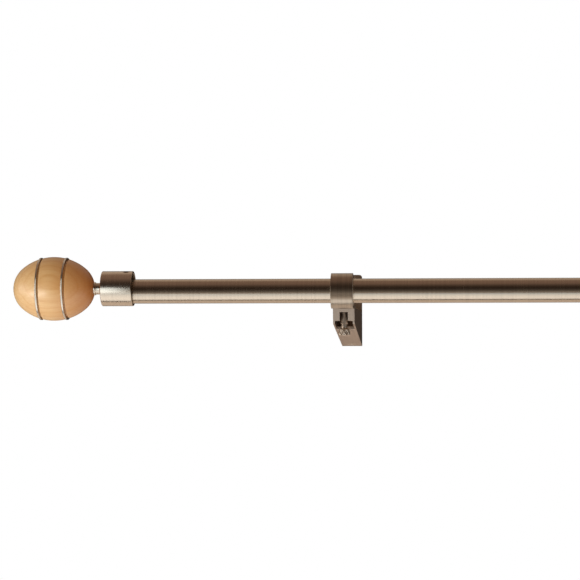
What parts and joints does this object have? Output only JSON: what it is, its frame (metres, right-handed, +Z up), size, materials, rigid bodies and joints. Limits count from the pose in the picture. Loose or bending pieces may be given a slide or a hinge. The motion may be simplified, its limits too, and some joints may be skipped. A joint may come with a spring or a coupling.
{
  "type": "curtain rod with brackets",
  "caption": "Telescopic curtain rod with turned wooden egg finials, slip-on end cups and slim wall brackets that grip the rod in a split clamp ring.",
  "frame": {"origin": "on the wall plane, straight behind the rod's axis at the middle of the left bracket", "axes": "+X along the rod from the thin tube's finial to the thick tube's, +Y out of the room into the wall, +Z up"},
  "size_m": [1.1302, 0.1475, 0.0624],
  "materials": {
    "rod_metal": "steel tube plated in antique brass, brushed round the tube, clear lacquer",
    "cap_metal": "plated in antique brass, brushed round the axis",
    "ring_metal": "steel strip plated in antique brass, brushed along the strip",
    "bracket_metal": "plated in antique brass, satin",
    "screw_metal": "plated, bright",
    "disc_metal": "turned and polished",
    "finial_wood": "turned beech, clear satin lacquer",
    "guide_plastic": "moulded, natural"
  },
  "bodies": {
    "left_bracket": {"left_wall_plate": "bracket_metal", "left_arm": "bracket_metal", "left_rod_ring": "ring_metal", "left_ring_liner": "guide_plastic", "left_clamp_nut": "screw_metal", "left_arm_screw": "screw_metal"},
    "inner_rod": {"inner_tube": "rod_metal", "inner_end_plug": "guide_plastic"},
    "outer_rod": {"outer_tube": "rod_metal", "mouth_sleeve": "guide_plastic"},
    "right_bracket": {"right_wall_plate": "bracket_metal", "right_arm": "bracket_metal", "right_rod_ring": "ring_metal", "right_ring_liner": "guide_plastic", "right_clamp_nut": "screw_metal", "right_arm_screw": "screw_metal"},
    "left_cap": {"left_cup": "cap_metal"},
    "left_knob": {"left_neck_collar": "cap_metal", "left_stud": "screw_metal", "left_inner_disc": "disc_metal", "left_outer_disc": "disc_metal", "left_wood_base": "finial_wood", "left_wood_middle": "finial_wood", "left_wood_tip": "finial_wood"},
    "left_grub": {"left_grub_screw": "screw_metal"},
    "left_clamp": {"left_clamp_screw": "screw_metal"},
    "right_cap": {"right_cup": "cap_metal"},
    "right_knob": {"right_neck_collar": "cap_metal", "right_stud": "screw_metal", "right_inner_disc": "disc_metal", "right_outer_disc": "disc_metal", "right_wood_base": "finial_wood", "right_wood_middle": "finial_wood", "right_wood_tip": "finial_wood"},
    "right_grub": {"right_grub_screw": "screw_metal"},
    "right_clamp": {"right_clamp_screw": "screw_metal"}
  },
  "joints": [
    {"name": "rod_slide", "type": "slide", "parent": "left_bracket", "child": "inner_rod", "axis": [1, 0, 0], "range_m": [-0.03, 0.12]},
    {"name": "telescope", "type": "slide", "parent": "inner_rod", "child": "outer_rod", "axis": [1, 0, 0], "range_m": [-0.16, 0.195]},
    {"name": "right_bracket_slide", "type": "slide", "parent": "outer_rod", "child": "right_bracket", "axis": [1, 0, 0], "range_m": [-0.4, 0.12]},
    {"name": "left_finial_pull", "type": "slide", "parent": "inner_rod", "child": "left_cap", "axis": [-1, 0, 0], "range_m": [0, 0.03]},
    {"name": "left_knob_turn", "type": "hinge", "parent": "left_cap", "child": "left_knob", "pos_m": [-0.19, -0.1265, 0.00188], "axis": [1, 0, 0], "continuous": true},
    {"name": "left_grub_travel", "type": "slide", "parent": "left_cap", "child": "left_grub", "axis": [0, -0.2588, 0.9659], "range_m": [0, 0.0015]},
    {"name": "left_clamp_travel", "type": "slide", "parent": "left_bracket", "child": "left_clamp", "axis": [0, 0, 1], "range_m": [0, 0.005]},
    {"name": "right_finial_pull", "type": "slide", "parent": "outer_rod", "child": "right_cap", "axis": [1, 0, 0], "range_m": [0, 0.03]},
    {"name": "right_knob_turn", "type": "hinge", "parent": "right_cap", "child": "right_knob", "pos_m": [0.8862, -0.12612, 0.00043], "axis": [1, 0, 0], "continuous": true},
    {"name": "right_grub_travel", "type": "slide", "parent": "right_cap", "child": "right_grub", "axis": [0, -0.2588, 0.9659], "range_m": [0, 0.0015]},
    {"name": "right_clamp_travel", "type": "slide", "parent": "right_bracket", "child": "right_clamp", "axis": [0, 0, 1], "range_m": [0, 0.005]}
  ]
}
